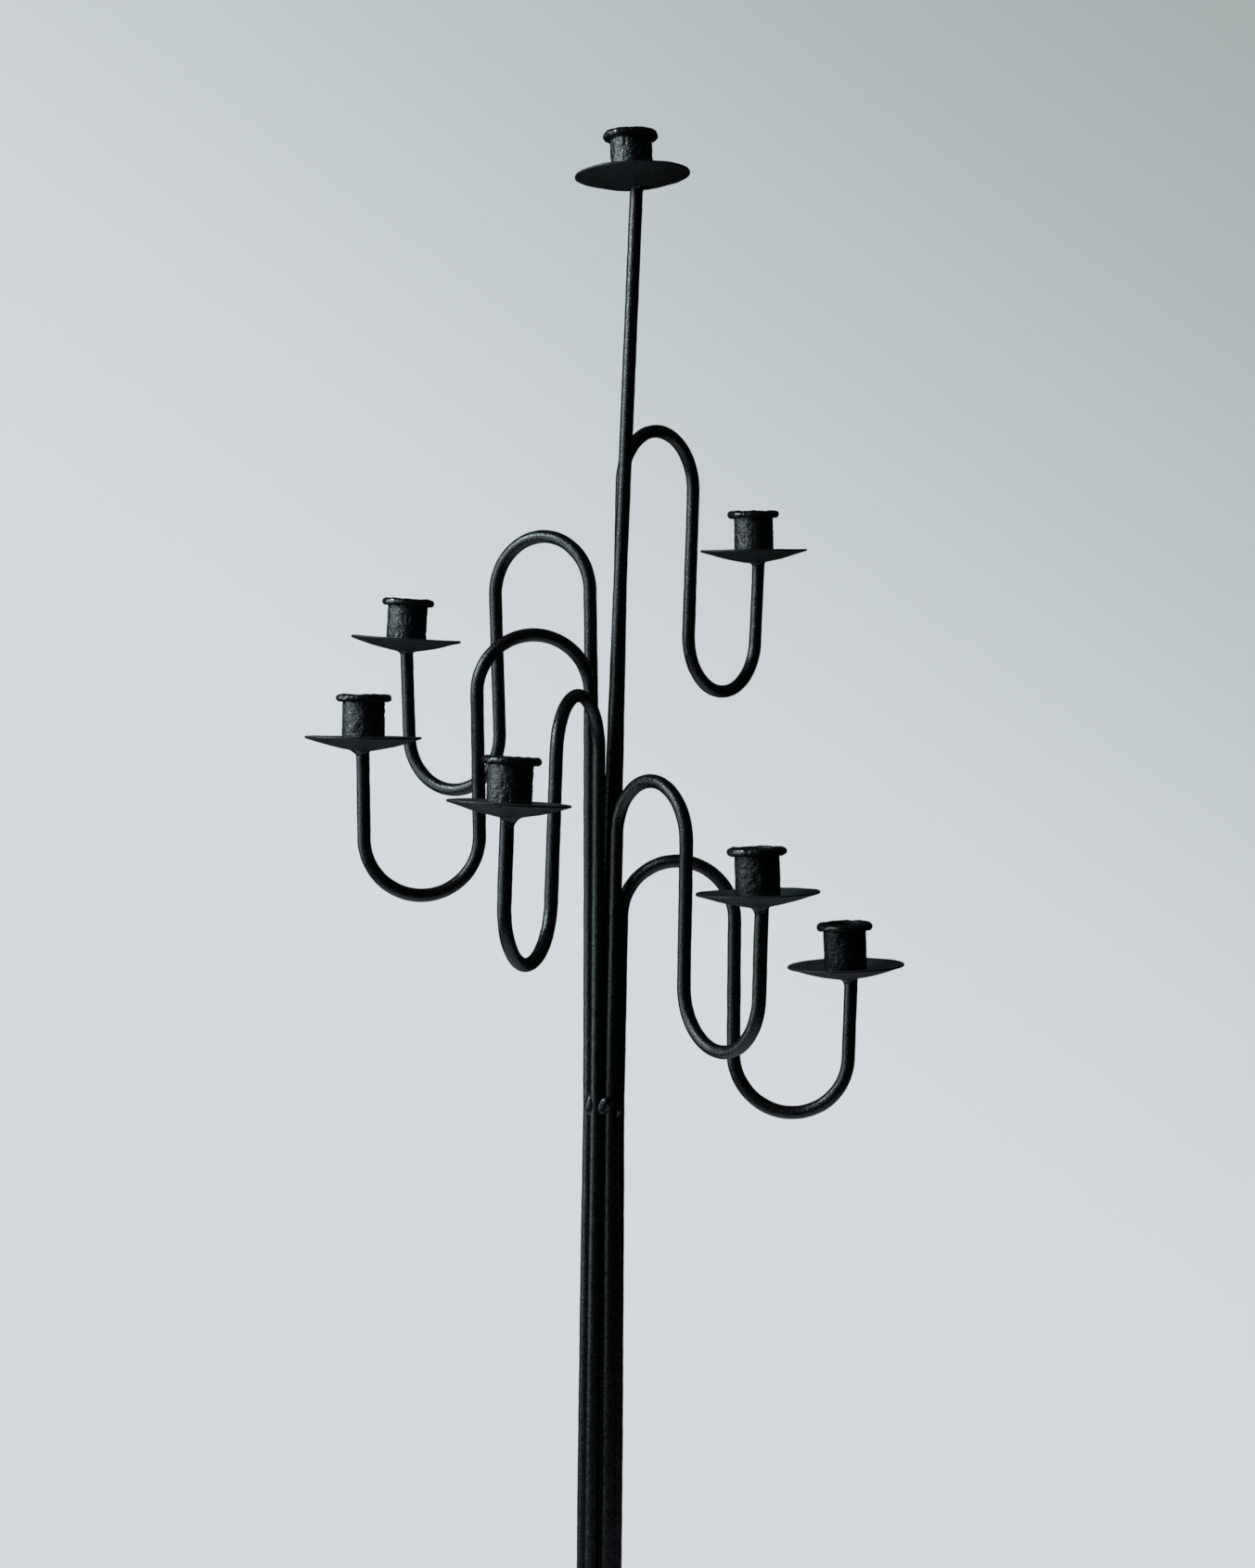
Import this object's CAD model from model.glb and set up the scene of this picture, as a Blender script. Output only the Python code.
import itertools
import math
from collections import namedtuple

import bpy
import numpy as np
from mathutils import Matrix, Vector


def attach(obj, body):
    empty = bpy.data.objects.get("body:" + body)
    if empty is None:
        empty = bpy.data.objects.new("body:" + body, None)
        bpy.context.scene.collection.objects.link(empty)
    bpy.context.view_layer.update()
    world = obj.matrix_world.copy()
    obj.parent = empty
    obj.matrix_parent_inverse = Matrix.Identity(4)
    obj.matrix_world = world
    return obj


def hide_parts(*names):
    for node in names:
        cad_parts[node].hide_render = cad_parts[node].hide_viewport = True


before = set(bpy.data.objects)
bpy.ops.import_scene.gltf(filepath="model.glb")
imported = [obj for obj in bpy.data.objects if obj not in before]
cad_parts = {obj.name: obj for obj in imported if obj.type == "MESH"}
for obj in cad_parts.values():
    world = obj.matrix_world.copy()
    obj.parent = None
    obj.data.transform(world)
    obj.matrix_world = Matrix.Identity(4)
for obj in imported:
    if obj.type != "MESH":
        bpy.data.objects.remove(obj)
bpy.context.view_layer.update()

# Looks of the floor candelabrum. Each CAD piece gives way to a mesh of the same shape and size,
# with the relief and the paint of the real iron. Sizes and places are the part's own, in
# millimetres and degrees; those of the stage, further down, are in metres.
MILLIMETRE = 0.001          # in metres
METRE = 1000.0              # in millimetres

# Rods and the bundle: six rods round the centre one
ROD = 4.0                   # radius
PITCH = 8.6                 # from one rod's axis to the next in the bundle
UPPER_WELD = 740.0          # heights of the two rings of weld beads
LOWER_WELD = 195.0
BUNDLE_END = 180.0          # height of the cut ends of the rods that are no legs
BUNDLE_BOW = 1.25           # how far the outer rods stand out halfway between the two welds
BEND = 35.0                 # radius of crests and valleys
SPLAY = 300.0               # radius of the slight bend in which a rod leaves the vertical

# Centre rod, from the upper weld on
CENTRE_STRAIGHT = 100.0
CENTRE_LEAN = 1.8
CENTRE_RISE = 557.5         # up to its pan
CENTRE_HOLDER = (3.6, 152.0, -2.1)      # holder lean, way and shift, as for the arms

# Legs and feet
FLARE = 90.0                # radius of the bend outwards
FLARE_HEIGHT = 172.0        # height at which it starts
TOE = 40.0                  # radius of the bend down to the foot
FOOT_REACH = 210.0          # from the stem's axis to the middle of a foot
PAD_RADIUS = 14.0
PAD_THICKNESS = 4.0
PAD_CHAMFER = 1.0
PAD_SHARP = 35.0            # angle from which its edges show as sharp

# Drip pans: flat in the middle, then a slope, then a steeper one
SHEET = 1.5
PAN_RADIUS = 35.0
PAN_FLAT = 5.0              # radii at which the slope starts and steepens
PAN_KNEE = 20.0
FLAT_ROUNDING = 2.0         # how far to each side of these radii the slope changes
KNEE_ROUNDING = 7.0
INNER_SLOPE = 11.0
OUTER_SLOPE = 17.0
PAN_SUM_RADIUS = 1.5 * PAN_RADIUS       # as far out as the slope is summed up to heights
PAN_SUM_POINTS = 526

# Candle cups; heights are from the middle of the pan's underside
BORE = 11.2                 # radius
CUP_RADIUS = 12.7
CUP_HEIGHT = 33.9
RIM_RADIUS = 16.8
RIM_ROLL = 2.25             # radius of the rim's round edge
RIM_UNDER = CUP_HEIGHT - 2 * RIM_ROLL
LIP = 1.2                   # radius of the edge round the bore

# crest_rise is from the upper weld to the top of the rod's axis; the three leans are outwards on
# the way up. Pan and cup lean by holder_lean towards the azimuth holder_way and sit holder_shift
# from the rod's end towards +X.
Arm = namedtuple("Arm", "azimuth crest_rise drop riser inner_lean drop_lean riser_lean"
                        " holder_lean holder_way holder_shift")
ARMS = {
    1: Arm(50.0, 415.0, 89.0, 51.5, 0.7, 2.0, 3.0, 3.6, 246.0, -3.0),
    2: Arm(149.0, 348.5, 86.0, 54.5, 1.6, 2.7, 2.7, 2.9, 346.0, -0.8),
    3: Arm(193.0, 286.5, 86.0, 52.5, 0.5, 1.5, 1.2, 0.4, 76.0, 0.3),
    4: Arm(250.0, 250.0, 88.0, 47.5, 0.6, -4.0, -3.8, 2.8, 19.0, 0.5),
    5: Arm(306.0, 199.5, 83.0, 52.0, 1.1, 0.6, 1.6, 2.4, 165.0, -1.9),
    6: Arm(348.0, 150.0, 81.0, 48.0, 0.6, -0.2, 1.3, 2.8, 192.5, -3.0),
}
LEG_ARMS = (2, 4, 6)
SLOT_STEP = 360.0 / len(ARMS)           # from one outer rod of the bundle to the next

# Weld at the pans: direction of the lump, its spread and its length down the rod
WELD_LUMPS = {
    "top": (10.0, 3.2, 3.0),
    1: (200.0, 2.6, 3.0),
    2: (150.0, 3.0, 3.5),
    3: (185.0, 5.2, 4.2),
    4: (350.0, 4.8, 6.5),
    5: (195.0, 3.4, 4.4),
    6: (180.0, 4.6, 3.8),
}
FOOT_LUMP = (3.4, 3.4)      # spread and length at the feet
LEAST_SPREAD = 1.0          # both opposite the lump
LEAST_LENGTH = 1.4
LUMP_FOCUS = 1.6            # the higher, the narrower the lump
WELD_SEAT = 0.12            # how far a fillet sinks into the pan or the pad
WELD_OVERLAP = 0.35         # and into the rod
WELD_EDGE = 0.05            # depth of the hollow face's end under the rod's surface
SEAT_SHARES = (0.0, 0.5)    # its seated rings, from inside the rod out to the fillet's edge
CORE_SHARES = (0.97, 0.5)   # its rings inside the rod, from the joint to the fillet's end
WELD_START = 12.0           # how far along the rod its points start, before they reach the joint
WOBBLE_RADIUS = 5.0         # of the circle in the noise that its wobble follows
REACH_ROUNDS = 6            # rounds in which a point comes close to the pan's underside

# Each bead, from the groove at 30 degrees on: how far it sits aside and out from the middle of
# its groove, and the lean of its top round the groove
BEADS = {
    "upper_weld_beads": ((0.4, 1.0, 12.0), (-0.5, 1.0, -18.0), (0.2, 1.2, 9.0),
                         (2.0, 1.9, 6.0), (1.3, 1.0, -44.0), (0.0, 0.7, 25.0)),
    "lower_weld_beads": ((-0.6, 1.2, -15.0), (0.3, 0.9, 8.0), (0.9, 1.0, 22.0),
                         (-0.4, 1.1, -12.0), (0.5, 1.3, 16.0), (-0.9, 0.8, -30.0)),
}
BEAD_RADII = (4.3, 4.7, 7.8)            # outwards, aside and up
BEAD_LIFT = 1.6                         # the most that a bead sits above or below its ring
LIFT_BY_SEED = 3.1                      # radians; they scatter the lifts
LIFT_BY_NUMBER = 2.3

# Relief of the surfaces: layers of noise, each with the size of its bumps and their height
ROD_RELIEF = (((5.0, 5.0, 3.5), 0.09), (11.0, 0.10), (45.0, 0.10))
PAN_RELIEF = ((3.2, 0.07), (9.0, 0.16), (26.0, 0.25))
PAN_WAVES = ((22.0, 0.35),)
WALL_RELIEF = ((4.5, 0.16),)
WALL_CRESTS = (2.6, 0.26)
RIM_RELIEF = ((3.2, 0.32), (7.5, 0.40))
WELD_WOBBLE = ((3.0, 0.18),)
WELD_RELIEF = ((1.6, 0.10), (3.2, 0.16))
BEAD_RELIEF = ((1.8, 0.20), (3.6, 0.70))
PAD_RELIEF = ((4.0, 0.08), (9.0, 0.10))

# Radii and heights between which the relief grows to its full height
PAN_ROUGH = (13.5, 19.0)                        # radii; the sheet is even where the cup stands
PAN_WAVY = (15.0, PAN_RADIUS)
WALL_OUTSIDE = (BORE + 0.7, CUP_RADIUS - 0.2)   # radii
BORE_ROUGH = 0.12                               # share of the wall's relief that the bore keeps
WALL_ABOVE_PAN = (2.8, 5.2)                     # heights
RIM_FROM_BELOW = (RIM_UNDER - 1.5, RIM_UNDER + 0.8)
RIM_FROM_INSIDE = (BORE, BORE + 1.5)            # radii
PAD_ABOVE_FLOOR = (0.2, 1.2)                    # heights

# Fineness of the meshes: points round a piece, rings, and steps along an outline
ROD_SIDES = 28
ROD_STEP = 1.5
PAN_SIDES = 160
PAN_RINGS = 34              # of each face
PAN_HUB = 0.8               # radius of the innermost ring
PAN_EDGE_STEP = 0.45
CUP_SIDES = 132
CUP_STEP = 0.55
BORE_STEP = 1.2
WELD_SIDES = 72
WELD_RINGS = 11             # of the hollow face
BEAD_SIDES = 28
BEAD_RINGS = 22
PAD_SIDES = 96
PAD_HUB = 0.6
PAD_STEP = 1.0
PAD_EDGE_STEP = 0.75
PAD_CHAMFER_STEP = 0.5

# Seeds of the noise; the number of the arm, leg or bead is added, and 0 at the centre rod
SEEDS = {
    "rod": 1, "pan": 11, "pan_waves": 61, "cup_wall": 31, "cup_rim": 61, "pan_weld": 51,
    "upper_weld_beads": 60, "lower_weld_beads": 70, "foot_pad": 80, "foot_weld": 83,
}

# Whole numbers that scramble the corners of the noise's lattice
AXIS_KEYS = (374761393, 668265263, 1274126177)
SEED_KEY = 362437
SCRAMBLE = ((13, 1103515245), (11, 69069))      # shifts and factors
THIRTY_ONE_BITS = 0x7FFFFFFF
SIXTEEN_BITS = 0xFFFF
DROPPED_BITS = 7            # the lowest ones, which are scrambled least
LATTICE_SHIFT = 97.3        # moves the lattice's planes off those through the origin
LAYER_SEEDS = 17            # between the seeds of two pieces; the layers of one take them in turn

UP = np.array([0.0, 0.0, 1.0])


# ---------------------------------------------------------------- lines and noise

def walk(moves, heading):
    """Points (outwards, upwards) and headings along straights and bends; a move is (length, turn)."""
    angle = math.radians(heading)
    point = np.zeros(2)
    points = [point]
    headings = [angle]
    for length, turn in moves:
        count = max(1, round(length / ROD_STEP))
        bend = math.radians(turn)
        for index in range(1, count + 1):
            share = index / count
            now = angle + bend * share
            if turn:
                step = length / bend * np.array([math.cos(angle) - math.cos(now),
                                                 math.sin(now) - math.sin(angle)])
            else:
                step = length * share * np.array([math.sin(angle), math.cos(angle)])
            points.append(point + step)
            headings.append(now)
        point = points[-1]
        angle += bend
    return np.array(points), np.array(headings)


def bend_length(radius, turn):
    return radius * abs(math.radians(turn))


def bow(points, headings):
    """Push a lower walk outwards between the two welds."""
    way_down = np.clip(-points[:, 1] / (UPPER_WELD - LOWER_WELD), 0.0, 1.0)
    outwards = BUNDLE_BOW * np.sin(math.pi * way_down)
    return points + np.column_stack([outwards, np.zeros(len(points))]), headings


def upright(points, headings, azimuth, base):
    """Turn a walk in the vertical plane at an azimuth into points and directions in space."""
    out = np.array([math.cos(math.radians(azimuth)), math.sin(math.radians(azimuth)), 0.0])
    place = base + points[:, :1] * out + points[:, 1:] * UP
    way = np.sin(headings)[:, None] * out + np.cos(headings)[:, None] * UP
    return place, way


def slot_point(number, reach, height):
    """Point at a distance from the stem's axis, on the side of one of the bundle's outer rods."""
    slot = math.radians(SLOT_STEP * number)
    return np.array([reach * math.cos(slot), reach * math.sin(slot), height])


def turns(sides):
    """Angles evenly round a circle."""
    return np.arange(sides) * 2 * math.pi / sides


def circle(sides, first, second):
    """Directions evenly round the plane of two unit vectors."""
    turn = turns(sides)
    return np.cos(turn)[:, None] * first + np.sin(turn)[:, None] * second


def ease(share):
    """Bend a share from 0 to 1 so that it starts and ends level."""
    return share * share * (3.0 - 2.0 * share)


def smooth_share(value, low, high):
    return ease(np.clip((value - low) / (high - low), 0.0, 1.0))


def lattice_noise(points, size, seed):
    """Smooth noise from -1 to 1 with bumps of about the given size."""
    scaled = points / size + LATTICE_SHIFT
    base = np.floor(scaled).astype(np.int64)
    blend = ease(scaled - base)
    total = np.zeros(len(points))
    for corner in itertools.product((0, 1), repeat=3):
        key = (base + corner) @ np.array(AXIS_KEYS) + seed * SEED_KEY
        for shift, factor in SCRAMBLE:
            key = (key ^ (key >> shift)) * factor & THIRTY_ONE_BITS
        value = ((key >> DROPPED_BITS) & SIXTEEN_BITS) / (SIXTEEN_BITS / 2) - 1.0
        total += value * np.prod(np.where(corner, blend, 1.0 - blend), axis=1)
    return total


def bumps(points, layers, seed):
    """Sum of noise layers, each (size, height); a size may be one number or one for each axis."""
    total = np.zeros(len(points))
    for number, (size, height) in enumerate(layers):
        total += height * lattice_noise(points, np.array(size), seed * LAYER_SEEDS + number)
    return total


def crinkles(points, size, height, seed):
    """Sharp little crests with rounded hollows between them."""
    return height * (0.5 - 2.0 * np.abs(lattice_noise(points, np.array(size), seed)))


# ---------------------------------------------------------------- meshes

def place_object(name, data):
    """Put an object with the data into the scene."""
    placed = bpy.data.objects.new(name, data)
    bpy.context.scene.collection.objects.link(placed)
    return placed


def signed_volume(points, faces):
    """A measure of a closed mesh that is under 0 where its faces look inwards."""
    corner = points[[face[0] for face in faces]]
    side_one = points[[face[1] for face in faces]] - corner
    side_two = points[[face[2] for face in faces]] - corner
    return np.einsum("ij,ij->i", corner, np.cross(side_one, side_two)).sum()


def skin(name, rings, ring_of_rings=False):
    """Closed mesh over rings of points (count, sides, 3); open ends are capped with a fan."""
    count, sides, _ = rings.shape
    points = rings.reshape(-1, 3)
    index = np.arange(count * sides).reshape(count, sides)
    following = np.roll(index, -1, axis=1)
    above = np.roll(index, -1, axis=0)
    above_following = np.roll(following, -1, axis=0)
    last = count if ring_of_rings else count - 1
    quads = np.stack([index, following, above_following, above], axis=2)[:last].reshape(-1, 4)
    faces = quads.tolist()
    if not ring_of_rings:
        points = np.vstack([points, rings[0].mean(0), rings[-1].mean(0)])
        first_hub, last_hub = count * sides, count * sides + 1
        faces += [[b, a, first_hub] for a, b in zip(index[0].tolist(), following[0].tolist())]
        faces += [[a, b, last_hub] for a, b in zip(index[-1].tolist(), following[-1].tolist())]
    mesh = bpy.data.meshes.new(name)
    mesh.from_pydata((points * MILLIMETRE).tolist(), [], faces)
    mesh.update()
    if signed_volume(points, faces) < 0:
        mesh.flip_normals()
    mesh.shade_smooth()
    return place_object(name, mesh)


def lathe(profile, sides, centre, axes):
    """Rings of points: an outline of (radius, height) turned round the last of three axes."""
    out = circle(sides, axes[0], axes[1])
    radius, height = profile[:, 0], profile[:, 1]
    return centre + radius[:, None, None] * out[None] + height[:, None, None] * axes[2]


def read_points(piece):
    points = np.zeros(len(piece.data.vertices) * 3)
    normals = np.zeros(len(piece.data.vertices) * 3)
    piece.data.vertices.foreach_get("co", points)
    piece.data.vertices.foreach_get("normal", normals)
    return points.reshape(-1, 3) * METRE, normals.reshape(-1, 3)


def write_points(piece, points):
    piece.data.vertices.foreach_set("co", (points * MILLIMETRE).ravel())
    piece.data.update()


def roughen(piece, layers, seed, share=None, crests=None):
    """Push the surface in and out by noise, less where share is under 1."""
    points, normals = read_points(piece)
    height = bumps(points, layers, seed)
    if crests is not None:
        height += crinkles(points, *crests, seed)
    if share is not None:
        height = height * share(points)
    write_points(piece, points + normals * height[:, None])
    return piece


def stand_for(piece, node, slot):
    """Let a piece stand for a CAD node and wear the paint of its slot."""
    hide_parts(node)
    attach(piece, "root")
    piece.data.materials.append(MATERIALS[slot])


# ---------------------------------------------------------------- nodes of materials and world

def empty_tree(owner):
    """Node tree of a material or a world, without any nodes yet."""
    owner.use_nodes = True
    owner.node_tree.nodes.clear()
    return owner.node_tree


def add(tree, kind, **values):
    node = tree.nodes.new(kind)
    for key, value in values.items():
        setattr(node, key, value)
    return node


def noise_texture(tree, vector, size, detail, roughness, distortion=0.0):
    """Noise with bumps of about the given size in millimetres."""
    node = add(tree, "ShaderNodeTexNoise")
    node.inputs["Scale"].default_value = METRE / size
    node.inputs["Detail"].default_value = detail
    node.inputs["Roughness"].default_value = roughness
    node.inputs["Distortion"].default_value = distortion
    tree.links.new(vector, node.inputs["Vector"])
    return node.outputs["Fac"]


def spread(tree, value, low, high, to_low=0.0, to_high=1.0):
    """Map one range of a value smoothly to another."""
    node = add(tree, "ShaderNodeMapRange", interpolation_type="SMOOTHSTEP")
    for socket, number in (("From Min", low), ("From Max", high),
                           ("To Min", to_low), ("To Max", to_high)):
        node.inputs[socket].default_value = number
    tree.links.new(value, node.inputs["Value"])
    return node.outputs["Result"]


def blend_colours(tree, share, first, second):
    node = add(tree, "ShaderNodeMix", data_type="RGBA")
    colour_inputs = [socket for socket in node.inputs if socket.type == "RGBA"]
    for socket, value in zip(colour_inputs, (first, second)):
        if isinstance(value, tuple):
            socket.default_value = (*value, 1.0)
        else:
            tree.links.new(value, socket)
    tree.links.new(share, node.inputs["Factor"])
    return next(socket for socket in node.outputs if socket.type == "RGBA")


def blend_shaders(tree, share, first, second):
    node = add(tree, "ShaderNodeMixShader")
    for socket, value in zip(node.inputs, (share, first, second)):
        tree.links.new(value, socket)
    return node.outputs["Shader"]


def maths(tree, operation, first, second=0.0):
    node = add(tree, "ShaderNodeMath", operation=operation)
    for socket, value in zip(node.inputs, (first, second)):
        if isinstance(value, float):
            socket.default_value = value
        else:
            tree.links.new(value, socket)
    return node.outputs["Value"]


def bump(tree, height, distance, normal=None):
    """Raise the surface by a height texture, or sink it where the distance is under 0."""
    node = add(tree, "ShaderNodeBump", invert=distance < 0.0)
    node.inputs["Strength"].default_value = 1.0
    node.inputs["Distance"].default_value = abs(distance) * MILLIMETRE
    tree.links.new(height, node.inputs["Height"])
    if normal is not None:
        tree.links.new(normal, node.inputs["Normal"])
    return node.outputs["Normal"]


def show(tree, kind, shader):
    """Link a shader to the output of its material or world."""
    tree.links.new(shader, add(tree, kind).inputs["Surface"])


# ---------------------------------------------------------------- paint

# Noise in the paint: size, detail, roughness and distortion
PATCHES = (14.0, 4.0, 0.6)
MOTTLE = (2.6, 3.0, 0.6)
SPECKS = (2.2, 3.0, 0.65, 0.8)
FINE_GRAIN = (0.55, 2.0, 0.6)
WRINKLES = (2.0, 0.55, 0.5)             # their size comes with each paint
NOISE_MIDDLE = 0.5

PATCH_RANGE = (0.35, 0.7)               # noise over which dark paint turns pale
MOTTLE_RANGE = (0.3, 0.7)               # and smooth paint rough
CHIP_EDGE = 0.05                        # and paint bare iron
BARE_IRON = (0.075, 0.072, 0.066)
DUST = (0.017, 0.024, 0.026)
DUST_RANGE = (0.5, 0.9)                 # upward part of the normal, from no dust to full
SHEEN = (0.83, 0.98, 1.0, 1.0)          # cool reflections of the blue-black paint
SMOOTHEST = 0.16                        # roughness that full wear brings the smoothest paint to
WORN_WRINKLES = 0.85                    # share of the wrinkles that full wear takes away
WORN_CHIPS = 0.1                        # and how much it adds to the noise of the specks

# Dark and pale colour; roughness from smoothest to roughest; size and depth of the wrinkles and
# depth of the fine grain in millimetres; and the noise above which specks chip off
PAINTS = {
    "rod_iron": dict(dark=(0.0016, 0.0019, 0.0023), pale=(0.0035, 0.0039, 0.0042), gloss=(0.22, 0.36),
                     grain=1.8, grain_height=0.38, fine_height=0.03, chips=0.80),
    "pan_iron": dict(dark=(0.0017, 0.0028, 0.003), pale=(0.0048, 0.0072, 0.0073), gloss=(0.40, 0.60),
                     grain=2.6, grain_height=0.30, fine_height=0.04, chips=0.74, dusty=True),
    "cup_iron": dict(dark=(0.0025, 0.0038, 0.0043), pale=(0.0055, 0.0078, 0.0088), gloss=(0.30, 0.46),
                     grain=2.4, grain_height=1.0, fine_height=0.05, chips=0.73, shine=0.58),
    "weld_iron": dict(dark=(0.002, 0.0023, 0.0026), pale=(0.005, 0.0056, 0.006), gloss=(0.16, 0.30),
                      grain=2.2, grain_height=0.3, fine_height=0.05, chips=0.72),
    "foot_iron": dict(dark=(0.0025, 0.003, 0.0033), pale=(0.007, 0.0078, 0.008), gloss=(0.32, 0.52),
                      grain=2.6, grain_height=0.4, fine_height=0.05, chips=0.73),
}

# Share of the shine that soot takes from the walls of these cups
SOOT = {5: 0.4, 6: 0.7}


def dusted(tree, colour):
    """A film of dust on what faces up."""
    apart = add(tree, "ShaderNodeSeparateXYZ")
    tree.links.new(add(tree, "ShaderNodeNewGeometry").outputs["Normal"], apart.inputs["Vector"])
    return blend_colours(tree, spread(tree, apart.outputs["Z"], *DUST_RANGE), colour, DUST)


def iron(name, dark, pale, gloss, grain, grain_height, fine_height, chips, shine=0.47, dusty=False):
    """Black wrinkled paint on iron.

    The mesh may carry two attributes from 0 to 1: "wear", where the paint is rubbed smooth and
    chipped, and "soot", which dulls it.
    """
    material = bpy.data.materials.new(name)
    tree = empty_tree(material)
    place = add(tree, "ShaderNodeTexCoord").outputs["Object"]
    wear = add(tree, "ShaderNodeAttribute", attribute_name="wear").outputs["Fac"]
    soot = add(tree, "ShaderNodeAttribute", attribute_name="soot").outputs["Fac"]

    patches = noise_texture(tree, place, *PATCHES)
    colour = blend_colours(tree, spread(tree, patches, *PATCH_RANGE), dark, pale)
    specks = maths(tree, "ADD", noise_texture(tree, place, *SPECKS),
                   maths(tree, "MULTIPLY", wear, WORN_CHIPS))
    colour = blend_colours(tree, spread(tree, specks, chips, chips + CHIP_EDGE), colour, BARE_IRON)
    if dusty:
        colour = dusted(tree, colour)

    mottle = noise_texture(tree, place, *MOTTLE)
    rough = maths(tree, "SUBTRACT", spread(tree, mottle, *MOTTLE_RANGE, *gloss),
                  maths(tree, "MULTIPLY", wear, gloss[0] - SMOOTHEST))
    clean = maths(tree, "SUBTRACT", 1.0, soot)

    wrinkles = noise_texture(tree, place, grain, *WRINKLES)
    hollows = maths(tree, "ABSOLUTE", maths(tree, "SUBTRACT", wrinkles, NOISE_MIDDLE))
    unworn = maths(tree, "SUBTRACT", 1.0, maths(tree, "MULTIPLY", wear, WORN_WRINKLES))
    normal = bump(tree, noise_texture(tree, place, *FINE_GRAIN), fine_height)
    normal = bump(tree, maths(tree, "MULTIPLY", hollows, unworn), -grain_height, normal)

    shader = add(tree, "ShaderNodeBsdfPrincipled")
    shader.inputs["Specular Tint"].default_value = SHEEN
    for socket, value in (("Base Color", colour), ("Roughness", rough), ("Normal", normal),
                          ("Specular IOR Level", maths(tree, "MULTIPLY", clean, shine))):
        tree.links.new(value, shader.inputs[socket])
    show(tree, "ShaderNodeOutputMaterial", shader.outputs["BSDF"])
    return material


MATERIALS = {name: iron(name, **paint) for name, paint in PAINTS.items()}


# ---------------------------------------------------------------- holders: where pans and cups sit

def pan_slope(radius):
    """Slope of a pan's underside; its two corners are rounded."""
    inner, outer = (math.tan(math.radians(slope)) for slope in (INNER_SLOPE, OUTER_SLOPE))
    sloped = smooth_share(radius, PAN_FLAT - FLAT_ROUNDING, PAN_FLAT + FLAT_ROUNDING)
    steeper = smooth_share(radius, PAN_KNEE - KNEE_ROUNDING, PAN_KNEE + KNEE_ROUNDING)
    return inner * sloped + (outer - inner) * steeper


def pan_under(radius):
    """Height of a pan's underside at a distance from its axis."""
    steps = np.linspace(0.0, PAN_SUM_RADIUS, PAN_SUM_POINTS)
    slopes = pan_slope(steps)
    heights = np.concatenate([[0.0], np.cumsum((slopes[1:] + slopes[:-1]) / 2) * steps[1]])
    return np.interp(radius, steps, heights)


def pan_floor(radius):
    """Height of a pan's upper face."""
    return pan_under(radius) + SHEET * np.sqrt(1.0 + pan_slope(radius) ** 2)


class Holder:
    """Place of one pan and cup: the middle of the pan's underside, three axes, and the rod's end."""

    def __init__(self, end, way, lean, azimuth, shift):
        turn = Matrix.Rotation(math.radians(lean), 3, (-math.sin(math.radians(azimuth)),
                                                       math.cos(math.radians(azimuth)), 0.0))
        self.end = end
        self.way = way
        self.origin = end + np.array([shift, 0.0, 0.0])
        self.axes = np.array(turn).T
        self.axis = self.axes[2]

    def local(self, points):
        """Distance of points from the holder's axis, and their height along it."""
        apart = points - self.origin
        height = apart @ self.axis
        return np.linalg.norm(apart - height[:, None] * self.axis, axis=1), height

    def under(self, points):
        """Move points along the rod's direction to the underside of the pan."""
        for _ in range(REACH_ROUNDS):
            radius, height = self.local(points)
            step = (pan_under(radius) - height) / (self.way @ self.axis)
            points = points + step[:, None] * self.way
        return points


# ---------------------------------------------------------------- rods

def across(way):
    """Two unit vectors square to each direction, carried from the first, steep one untwisted."""
    first = np.zeros_like(way)
    start = np.array([1.0, 0.0, 0.0])
    current = start - way[0] * (start @ way[0])
    for number, direction in enumerate(way):
        current = current - direction * (current @ direction)
        current = current / np.linalg.norm(current)
        first[number] = current
    return first, np.cross(way, first)


def tube_rings(place, way):
    first, second = across(way)
    turn = turns(ROD_SIDES)
    return (place[:, None] + ROD * (np.cos(turn)[None, :, None] * first[:, None]
                                    + np.sin(turn)[None, :, None] * second[:, None]))


def arm_moves(arm):
    """From the upper weld up the inner straight, over the crest, down the drop and up the riser."""
    lean = math.radians(arm.inner_lean)
    inner_top = arm.crest_rise - BEND + BEND * math.sin(lean)
    inner = (inner_top - SPLAY * math.sin(lean)) / math.cos(lean)
    over = 180.0 + arm.drop_lean - arm.inner_lean
    back = -(180.0 + arm.drop_lean - arm.riser_lean)
    return [(bend_length(SPLAY, arm.inner_lean), arm.inner_lean), (inner, 0.0),
            (bend_length(BEND, over), over), (arm.drop, 0.0),
            (bend_length(BEND, back), back), (arm.riser, 0.0)]


def leg_moves():
    """From the upper weld down, out along the shin and down again to the foot."""
    both = FLARE + TOE
    aside = FOOT_REACH - PITCH - both
    down = FLARE_HEIGHT - PAD_THICKNESS
    shin = math.sqrt(aside ** 2 + down ** 2 - both ** 2)
    turn = math.degrees(math.atan2(shin, -both) - math.atan2(down, aside))
    return [(UPPER_WELD - FLARE_HEIGHT, 0.0), (bend_length(FLARE, turn), -turn), (shin, 0.0),
            (bend_length(TOE, turn), turn)]


def centre_moves():
    """From the upper weld up to the top pan, with one slight bend."""
    lean = math.radians(CENTRE_LEAN)
    mast = (CENTRE_RISE - CENTRE_STRAIGHT - SPLAY * math.sin(lean)) / math.cos(lean)
    return [(CENTRE_STRAIGHT, 0.0), (bend_length(SPLAY, CENTRE_LEAN), CENTRE_LEAN), (mast, 0.0)]


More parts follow.
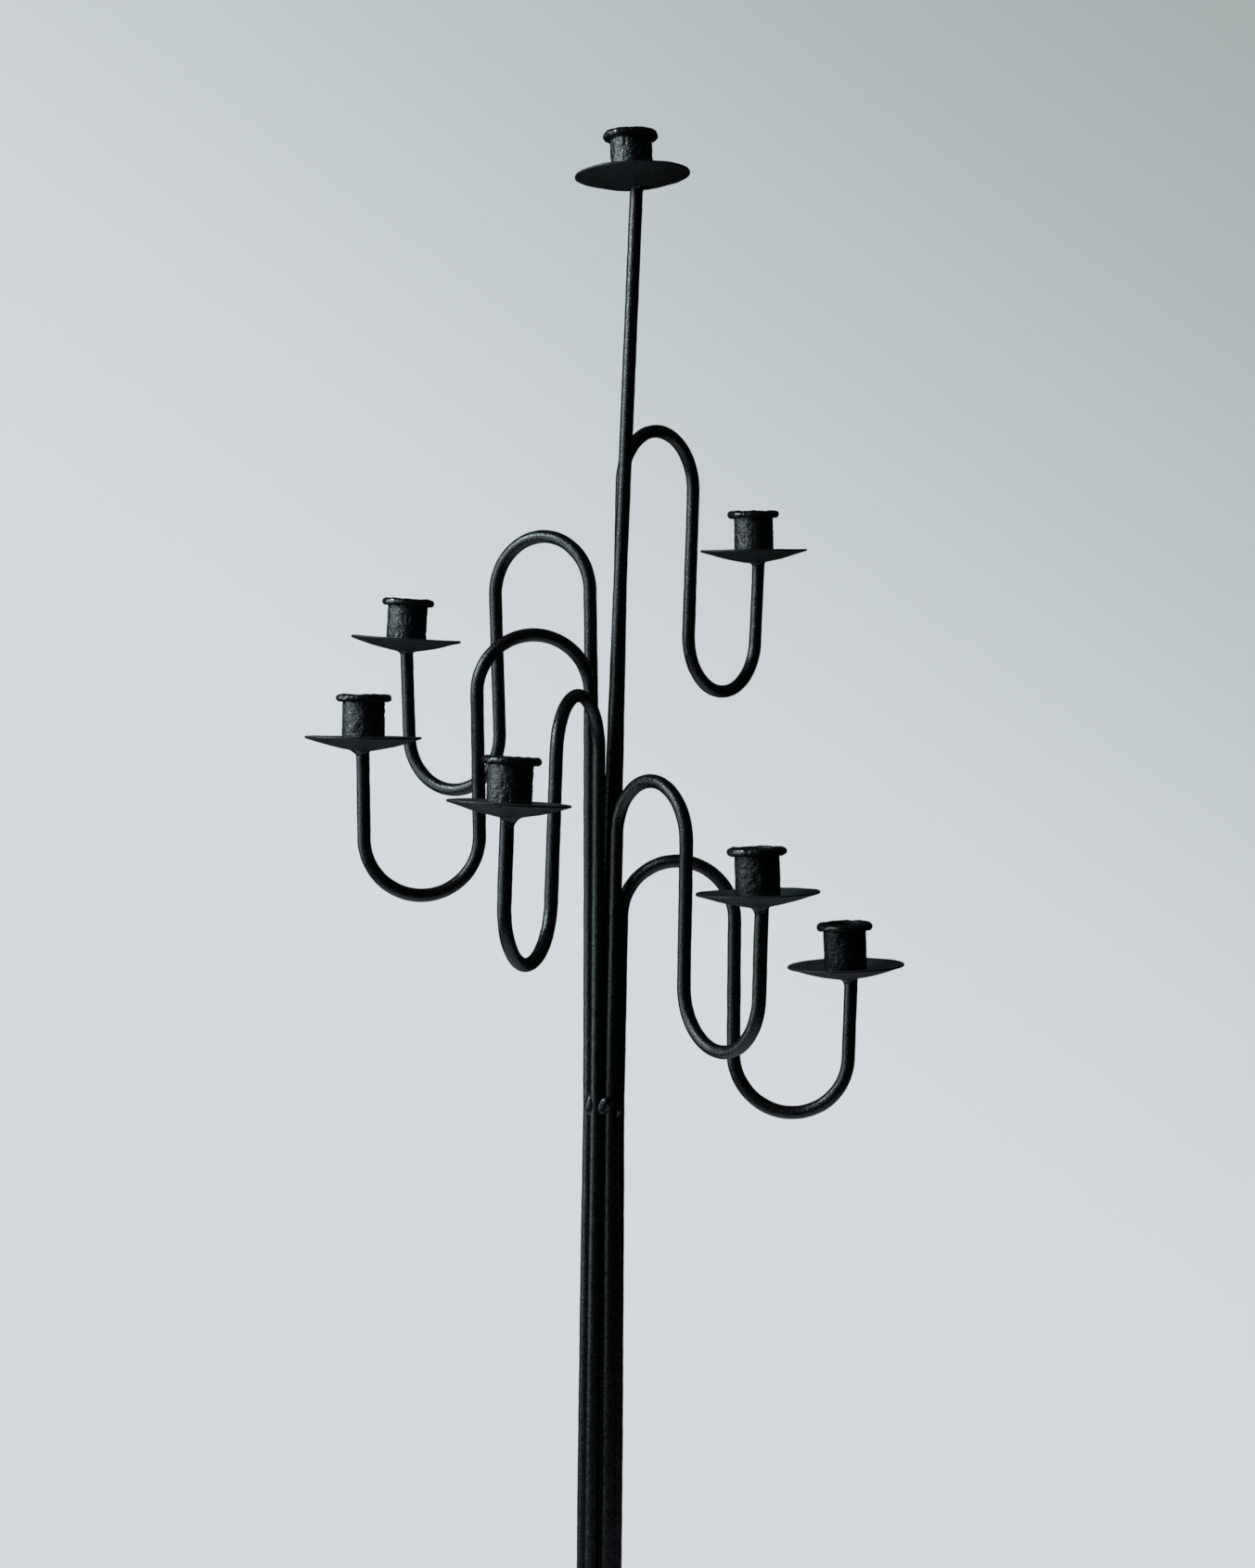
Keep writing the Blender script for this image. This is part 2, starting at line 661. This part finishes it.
def rod(name, lower, upper, holder_values, number):
    """One rod from its lower walk and upper walk, both from the upper weld; gives its holder."""
    (low_place, low_way), (high_place, high_way) = lower, upper
    place = np.vstack([low_place[:0:-1], high_place])
    way = np.vstack([-low_way[:0:-1], high_way])
    holder = Holder(place[-1], way[-1], *holder_values)
    rings = tube_rings(place[:-1], way[:-1])
    end = holder.under(rings[-1])
    piece = skin(f"forged_{name}", np.concatenate([rings, end[None]]))
    roughen(piece, ROD_RELIEF, SEEDS["rod"] + number)
    stand_for(piece, name, "rod_iron")
    return holder


def make_rods():
    """The seven rods; gives their holders, by the ending that the pieces at each one share."""
    straight = walk([(UPPER_WELD - BUNDLE_END, 0.0)], 180.0)
    base = slot_point(0, 0.0, UPPER_WELD)
    mast = walk(centre_moves(), 0.0)
    holders = {"top": rod("centre_rod", upright(*straight, 0.0, base), upright(*mast, 0.0, base),
                          CENTRE_HOLDER, 0)}
    for number, arm in ARMS.items():
        base = slot_point(number, PITCH, UPPER_WELD)
        lower = bow(*(walk(leg_moves(), 180.0) if number in LEG_ARMS else straight))
        upper = walk(arm_moves(arm), 0.0)
        holders[number] = rod(f"arm_rod_{number}", upright(*lower, SLOT_STEP * number, base),
                              upright(*upper, arm.azimuth, base),
                              (arm.holder_lean, arm.holder_way, arm.holder_shift), number)
    return holders


# ---------------------------------------------------------------- pans and cups

def arc_points(centre, radius, first, last, step):
    count = max(2, math.ceil(radius * abs(last - first) / step))
    angle = np.linspace(first, last, count + 1)
    return np.stack([centre[0] + radius * np.cos(angle), centre[1] + radius * np.sin(angle)], axis=1)


def line_points(start, end, step):
    count = max(1, math.ceil(math.dist(start, end) / step))
    share = np.linspace(0.0, 1.0, count + 1)[:, None]
    return np.array(start) + share * (np.array(end) - np.array(start))


def outline(*runs):
    """Join runs of points end to end, leaving out each repeated point."""
    return np.vstack([runs[0]] + [run[1:] for run in runs[1:]])


def make_pan(holder, suffix, number):
    """Beaten sheet with a round edge."""
    reach = PAN_RADIUS - SHEET / 2 + SHEET / 2 * math.sin(math.radians(OUTER_SLOPE))
    radius = np.linspace(PAN_HUB, reach, PAN_RINGS)
    under = np.stack([radius, pan_under(radius)], axis=1)
    slope = np.arctan(pan_slope(radius))
    over = under + SHEET * np.stack([-np.sin(slope), np.cos(slope)], axis=1)
    edge = arc_points((under[-1] + over[-1]) / 2, SHEET / 2, slope[-1] - math.pi / 2,
                      slope[-1] + math.pi / 2, PAN_EDGE_STEP)
    piece = skin(f"forged_drip_pan_{suffix}",
                 lathe(outline(under, edge, over[::-1]), PAN_SIDES, holder.origin, holder.axes))

    def share(points):
        return smooth_share(holder.local(points)[0], *PAN_ROUGH)

    roughen(piece, PAN_RELIEF, SEEDS["pan"] + number, share)
    bend_sheet(piece, holder, SEEDS["pan_waves"] + number)
    stand_for(piece, f"drip_pan_{suffix}", "pan_iron")


def bend_sheet(piece, holder, seed):
    """Slightly wavy rim: both faces of the sheet move together."""
    points, _ = read_points(piece)
    lift = bumps(points * np.array([1.0, 1.0, 0.0]), PAN_WAVES, seed)
    lift *= smooth_share(holder.local(points)[0], *PAN_WAVY)
    write_points(piece, points + lift[:, None] * holder.axis)


def make_cup(holder, suffix, number):
    """Tube with a rolled rim, crinkled outside and worn and lumpy round the rim."""
    foot_inside = (BORE, pan_floor(BORE))
    foot_outside = (CUP_RADIUS, pan_floor(CUP_RADIUS))
    roll = (RIM_RADIUS - RIM_ROLL, CUP_HEIGHT - RIM_ROLL)
    profile = outline(
        line_points(foot_inside, foot_outside, CUP_STEP),
        line_points(foot_outside, (CUP_RADIUS, RIM_UNDER), CUP_STEP),
        line_points((CUP_RADIUS, RIM_UNDER), (roll[0], RIM_UNDER), CUP_STEP),
        arc_points(roll, RIM_ROLL, -math.pi / 2, math.pi / 2, CUP_STEP),
        line_points((roll[0], CUP_HEIGHT), (BORE + LIP, CUP_HEIGHT), CUP_STEP),
        arc_points((BORE + LIP, CUP_HEIGHT - LIP), LIP, math.pi / 2, math.pi, CUP_STEP),
        line_points((BORE, CUP_HEIGHT - LIP), foot_inside, BORE_STEP))[:-1]
    piece = skin(f"forged_candle_cup_{suffix}",
                 lathe(profile, CUP_SIDES, holder.origin, holder.axes), ring_of_rings=True)

    def wall_share(points):
        radius, height = holder.local(points)
        outside = smooth_share(radius, *WALL_OUTSIDE)
        return (BORE_ROUGH + (1.0 - BORE_ROUGH) * outside) * smooth_share(height, *WALL_ABOVE_PAN)

    def rim_share(points):
        radius, height = holder.local(points)
        return smooth_share(height, *RIM_FROM_BELOW) * smooth_share(radius, *RIM_FROM_INSIDE)

    roughen(piece, WALL_RELIEF, SEEDS["cup_wall"] + number, wall_share, crests=WALL_CRESTS)
    roughen(piece, RIM_RELIEF, SEEDS["cup_rim"] + number, rim_share)
    rim = rim_share(read_points(piece)[0])
    for attribute, values in (("wear", rim), ("soot", SOOT.get(suffix, 0.0) * (1.0 - rim))):
        piece.data.attributes.new(attribute, "FLOAT", "POINT").data.foreach_set("value", values)
    stand_for(piece, f"candle_cup_{suffix}", "cup_iron")


# ---------------------------------------------------------------- welds and feet

def fillet(name, centre, way, reach, lump, seed):
    """Ring of weld round a rod's end; reach moves points along the rod to what it is welded to."""
    direction, spread_out, length = lump
    out = circle(WELD_SIDES, *across(way[None]))
    towards = np.arctan2(out[:, 1], out[:, 0]) - math.radians(direction)
    weight = (0.5 + 0.5 * np.cos(towards)) ** LUMP_FOCUS
    wobble = 1.0 + bumps(out * WOBBLE_RADIUS, WELD_WOBBLE, seed)
    foot = (LEAST_SPREAD + (spread_out - LEAST_SPREAD) * weight) * wobble
    drop = (LEAST_LENGTH + (length - LEAST_LENGTH) * weight) * wobble

    # Rings of (radius, distance from the joint, sunk into it or not): first the seated face from
    # the rod outwards, then the hollow face back to the rod, then the core inside the rod
    level = np.zeros(WELD_SIDES)
    inside = level + (ROD - WELD_OVERLAP)
    rings = [(inside + share * (foot + WELD_OVERLAP), level, True) for share in SEAT_SHARES]
    for share in np.linspace(0.0, 1.0, WELD_RINGS):
        radius = ROD - WELD_EDGE + foot * (1.0 - math.sin(share * math.pi / 2))
        rings.append((radius, drop * (1.0 - math.cos(share * math.pi / 2)), share == 0.0))
    rings += [(inside, drop * share, False) for share in CORE_SHARES]

    made = []
    for radius, depth, sunk in rings:
        ring = reach(centre - WELD_START * way + radius[:, None] * out) - depth[:, None] * way
        made.append(ring + (WELD_SEAT * way if sunk else 0.0))
    piece = skin(name, np.array(made), ring_of_rings=True)
    return roughen(piece, WELD_RELIEF, seed)


def make_pan_weld(holder, suffix, number):
    piece = fillet(f"forged_pan_weld_{suffix}", holder.end, holder.way, holder.under,
                   WELD_LUMPS[suffix], SEEDS["pan_weld"] + number)
    stand_for(piece, f"pan_weld_{suffix}", "weld_iron")


def bead(centre, groove, lean):
    """Rings of one weld bead, long way up, its top leaning along the groove's face."""
    polar = (np.arange(BEAD_RINGS) + 0.5) * math.pi / BEAD_RINGS
    turn = turns(BEAD_SIDES)
    shape = np.stack([np.sin(polar)[:, None] * np.cos(turn), np.sin(polar)[:, None] * np.sin(turn),
                      np.cos(polar)[:, None] * np.ones(BEAD_SIDES)], axis=2)
    shape = shape * np.array(BEAD_RADII)
    turned = Matrix.Rotation(groove, 3, "Z") @ Matrix.Rotation(lean, 3, "X")
    return centre + shape @ np.array(turned).T


def make_beads(name, height):
    """One bead in each groove between the outer rods, joined to one piece."""
    parts = []
    for number, (aside, out, lean) in enumerate(BEADS[name], 1):
        groove = math.radians(SLOT_STEP * number - SLOT_STEP / 2)
        radial = PITCH * math.cos(math.radians(SLOT_STEP / 2)) + out
        lift = BEAD_LIFT * math.sin(SEEDS[name] * LIFT_BY_SEED + number * LIFT_BY_NUMBER)
        centre = np.array([radial * math.cos(groove) - aside * math.sin(groove),
                           radial * math.sin(groove) + aside * math.cos(groove), height + lift])
        piece = skin(f"{name}_{number}", bead(centre, groove, math.radians(lean)))
        parts.append(roughen(piece, BEAD_RELIEF, SEEDS[name] + number))
    with bpy.context.temp_override(active_object=parts[0], object=parts[0],
                                   selected_objects=parts, selected_editable_objects=parts):
        bpy.ops.object.join()
    parts[0].name = f"forged_{name}"
    stand_for(parts[0], name, "weld_iron")


def make_foot(number):
    """Pad with a chamfered edge, and the fillet between it and its leg."""
    centre = slot_point(number, FOOT_REACH, 0.0)
    edge_top = PAD_THICKNESS - PAD_CHAMFER
    top_radius = PAD_RADIUS - PAD_CHAMFER
    profile = outline(
        line_points((PAD_HUB, 0.0), (PAD_RADIUS, 0.0), PAD_STEP),
        line_points((PAD_RADIUS, 0.0), (PAD_RADIUS, edge_top), PAD_EDGE_STEP),
        line_points((PAD_RADIUS, edge_top), (top_radius, PAD_THICKNESS), PAD_CHAMFER_STEP),
        line_points((top_radius, PAD_THICKNESS), (PAD_HUB, PAD_THICKNESS), PAD_STEP))
    pad = skin(f"forged_foot_pad_{number}", lathe(profile, PAD_SIDES, centre, np.eye(3)))

    def share(points):
        return smooth_share(points[:, 2], *PAD_ABOVE_FLOOR)

    roughen(pad, PAD_RELIEF, SEEDS["foot_pad"] + number, share)
    pad.data.set_sharp_from_angle(angle=math.radians(PAD_SHARP))
    stand_for(pad, f"foot_pad_{number}", "foot_iron")

    def reach(points):
        return np.column_stack([points[:, 0], points[:, 1], np.full(len(points), PAD_THICKNESS)])

    weld = fillet(f"forged_foot_weld_{number}", centre, -UP, reach,
                  (SLOT_STEP * number, *FOOT_LUMP), SEEDS["foot_weld"] + number)
    stand_for(weld, f"foot_weld_{number}", "weld_iron")


for number, (suffix, holder) in enumerate(make_rods().items()):
    make_pan(holder, suffix, number)
    make_cup(holder, suffix, number)
    make_pan_weld(holder, suffix, number)
make_beads("upper_weld_beads", UPPER_WELD)
make_beads("lower_weld_beads", LOWER_WELD)
for number in LEG_ARMS:
    make_foot(number)


# ---------------------------------------------------------------- stage, lights and camera, in metres

FLOOR_RADIUS = 1.5
FLOOR_SIDES = 96
FLOOR_FADE = (0.45, 1.32)               # radii between which it turns clear
FLOOR_COLOUR = (0.80, 0.83, 0.85, 1.0)

BACKDROP_PALE = (0.655, 0.69, 0.72)
BACKDROP_DARK = (0.34, 0.395, 0.385)
BACKDROP_WAY = (0.7, 0.0, 1.0)          # towards which it darkens
BACKDROP_FADE = (-0.13, 0.58)           # how far that way, from pale to dark
ROOM_GLOW = (0.006, 0.0075, 0.008, 1.0)         # light from all round

DAYLIGHT = (0.90, 0.96, 1.0)
CEILING_WHITE = (0.94, 0.98, 1.0)

# Place, target, width and height, power and colour of the lights
LIGHTS = {
    "window": ((-1.63, -0.1, 1.25), (0.0, 0.0, 1.15), (0.7, 2.1), 19.5, DAYLIGHT),
    "room": ((-1.55, -1.05, 1.35), (0.0, 0.0, 1.15), (0.9, 1.8), 8.0, DAYLIGHT),
    "skylight": ((-1.5, -0.42, 1.85), (0.0, 0.0, 1.3), (0.7, 0.45), 26.0, DAYLIGHT),
    "ceiling": ((0.5, 0.3, 2.9), (0.1, 0.0, 0.0), (1.6, 1.6), 20.0, CEILING_WHITE),
}

CAMERA_PLACE = (0.0125, -1.529, 0.9888)
CAMERA_TILT = 1.966                     # degrees down from the horizontal
CAMERA_ROLL = 0.595
LENS = 57.48                            # millimetres, as is the sensor
SENSOR_WIDTH = 36.0


def make_floor():
    """Pale disc that fades out towards its edge."""
    mesh = bpy.data.meshes.new("floor")
    ring = [(FLOOR_RADIUS * math.cos(turn), FLOOR_RADIUS * math.sin(turn), 0.0)
            for turn in turns(FLOOR_SIDES)]
    mesh.from_pydata(ring, [], [list(range(FLOOR_SIDES))])
    floor = place_object("floor", mesh)
    material = bpy.data.materials.new("pale_floor")
    tree = empty_tree(material)
    away = add(tree, "ShaderNodeVectorMath", operation="LENGTH")
    tree.links.new(add(tree, "ShaderNodeTexCoord").outputs["Object"], away.inputs[0])
    pale = add(tree, "ShaderNodeBsdfDiffuse")
    pale.inputs["Color"].default_value = FLOOR_COLOUR
    clear = add(tree, "ShaderNodeBsdfTransparent")
    mixed = blend_shaders(tree, spread(tree, away.outputs["Value"], *FLOOR_FADE),
                          pale.outputs["BSDF"], clear.outputs["BSDF"])
    show(tree, "ShaderNodeOutputMaterial", mixed)
    mesh.materials.append(material)


def make_world():
    """Pale backdrop, darker towards the top right; the part itself is lit by very little of it."""
    world = bpy.data.worlds.new("studio")
    bpy.context.scene.world = world
    tree = empty_tree(world)
    slant = add(tree, "ShaderNodeVectorMath", operation="DOT_PRODUCT")
    slant.inputs[1].default_value = BACKDROP_WAY
    tree.links.new(add(tree, "ShaderNodeTexCoord").outputs["Generated"], slant.inputs[0])
    shade = spread(tree, slant.outputs["Value"], *BACKDROP_FADE)
    seen = add(tree, "ShaderNodeBackground")
    colour = blend_colours(tree, shade, BACKDROP_PALE, BACKDROP_DARK)
    tree.links.new(colour, seen.inputs["Color"])
    felt = add(tree, "ShaderNodeBackground")
    felt.inputs["Color"].default_value = ROOM_GLOW
    direct = add(tree, "ShaderNodeLightPath").outputs["Is Camera Ray"]
    mixed = blend_shaders(tree, direct, felt.outputs["Background"], seen.outputs["Background"])
    show(tree, "ShaderNodeOutputWorld", mixed)


def add_light(name, place, target, size, power, colour):
    data = bpy.data.lights.new(name, "AREA")
    data.shape = "RECTANGLE"
    data.size, data.size_y = size
    data.energy = power
    data.color = colour
    light = place_object(name, data)
    light.visible_camera = False
    light.location = place
    light.rotation_euler = (Vector(target) - Vector(place)).to_track_quat("-Z", "Y").to_euler()
    return light


def make_camera():
    data = bpy.data.cameras.new("camera")
    data.sensor_width = SENSOR_WIDTH
    data.lens = LENS
    camera = place_object("camera", data)
    camera.matrix_world = (Matrix.Translation(CAMERA_PLACE)
                           @ Matrix.Rotation(math.radians(90.0 - CAMERA_TILT), 4, "X")
                           @ Matrix.Rotation(math.radians(CAMERA_ROLL), 4, "Z"))
    bpy.context.scene.camera = camera


make_floor()
make_world()
lights = {name: add_light(name, *values) for name, values in LIGHTS.items()}
lights["ceiling"].visible_glossy = False        # it would show as a second highlight
make_camera()
bpy.context.scene.view_settings.view_transform = "Standard"
